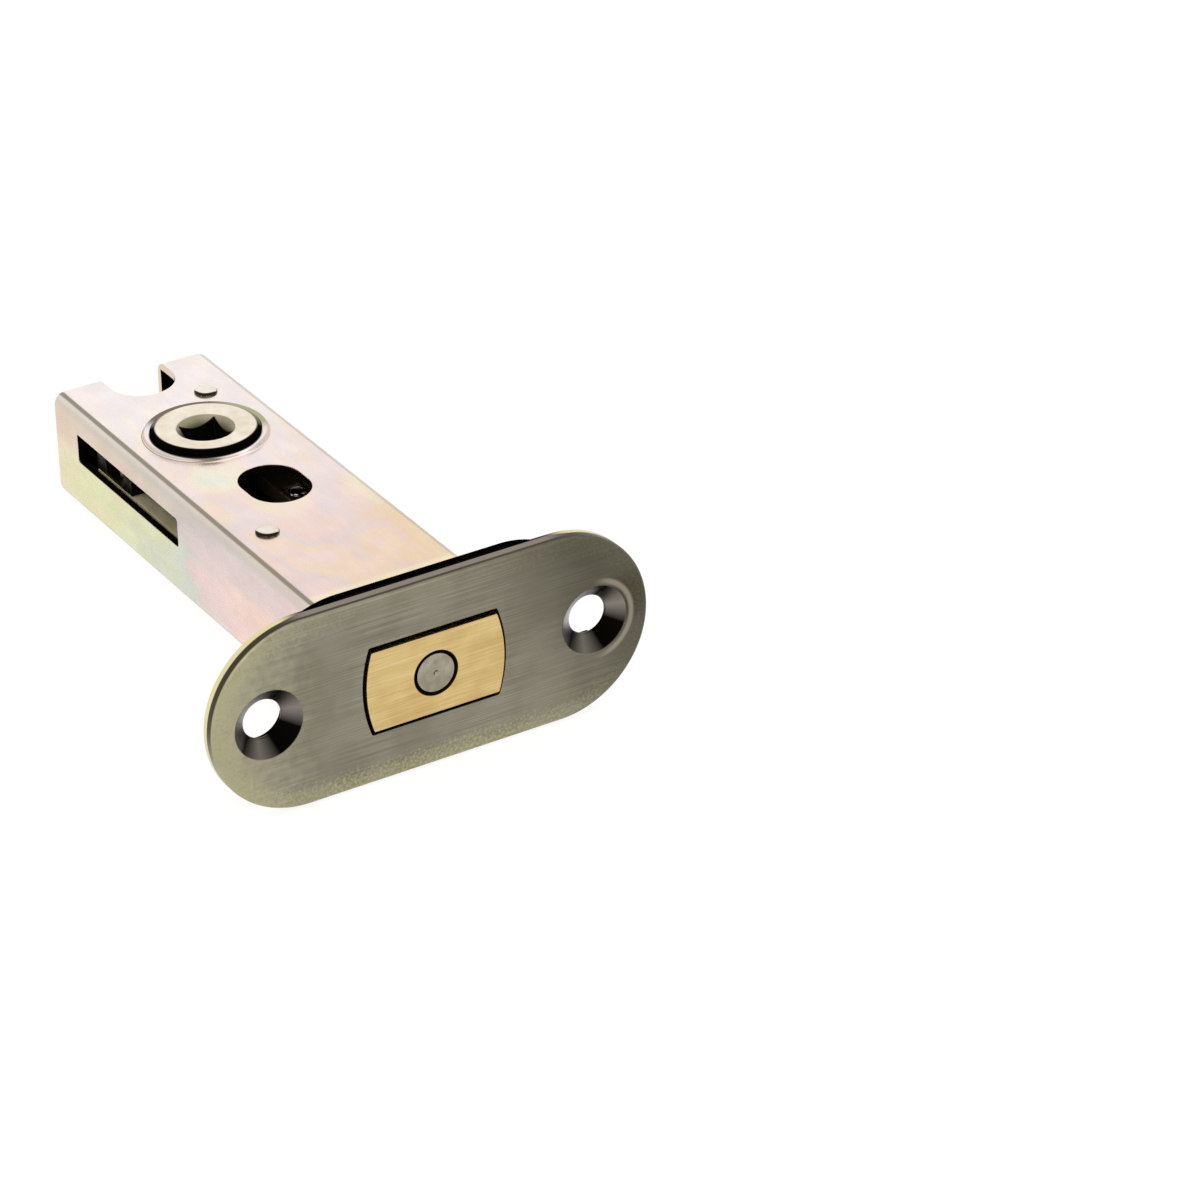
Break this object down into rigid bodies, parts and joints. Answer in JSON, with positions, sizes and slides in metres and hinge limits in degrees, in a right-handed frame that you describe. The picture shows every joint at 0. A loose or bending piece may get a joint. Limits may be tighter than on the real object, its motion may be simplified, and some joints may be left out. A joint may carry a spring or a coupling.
{
  "type": "tubular bathroom deadbolt",
  "caption": "Tubular deadbolt for a bathroom door: round-ended forend, folded case, and a square-hole follower whose finger throws a flat-sided bolt.",
  "frame": {"origin": "middle of the forend's front face, on the bolt's centre line", "axes": "+X along the forend's long side, +Y from the forend into the door along the bolt, +Z along the follower's spindle axis"},
  "size_m": [0.06, 0.0793, 0.025],
  "materials": {
    "forend_bronze": "satin antique brass, brushed along its length",
    "inner_plate_black": "blackened steel",
    "case_zinc": "yellow passivated zinc plate on steel",
    "guide_nylon": "natural nylon",
    "post_zinc": "yellow passivated zinc plate on steel, riveted ends",
    "follower_zinc": "die-cast zinc, plain",
    "bolt_brass": "satin brass",
    "pin_steel": "hardened steel, ground",
    "tail_zinc": "yellow passivated zinc plate on steel",
    "rivet_steel": "plain steel",
    "block_steel": "oil-blackened steel",
    "spring_steel": "blue-grey spring steel"
  },
  "bodies": {
    "lock_case": {"outer_forend": "forend_bronze", "inner_forend": "inner_plate_black", "case": "case_zinc", "bolt_guide": "guide_nylon", "front_post": "post_zinc", "rear_post": "post_zinc"},
    "bolt": {"bolt_head": "bolt_brass", "hardened_pin": "pin_steel", "bolt_tail": "tail_zinc", "tail_rivet_left": "rivet_steel", "tail_rivet_right": "rivet_steel", "drive_block": "block_steel", "block_rivet_front": "rivet_steel", "block_rivet_rear": "rivet_steel", "friction_spring": "spring_steel", "spring_rivet": "rivet_steel"},
    "follower": {"follower": "follower_zinc"}
  },
  "joints": [
    {"name": "bolt_slide", "type": "slide", "parent": "lock_case", "child": "bolt", "axis": [0, -1, 0], "range_m": [0, 0.014]},
    {"name": "follower_turn", "type": "hinge", "parent": "lock_case", "child": "follower", "pos_m": [0, 0.057, 0], "axis": [0, 0, 1], "range_deg": [0, 90]}
  ],
  "couplings": [
    {"joint": "follower_turn", "follows": "bolt_slide", "rad_per_m": 112.2}
  ]
}
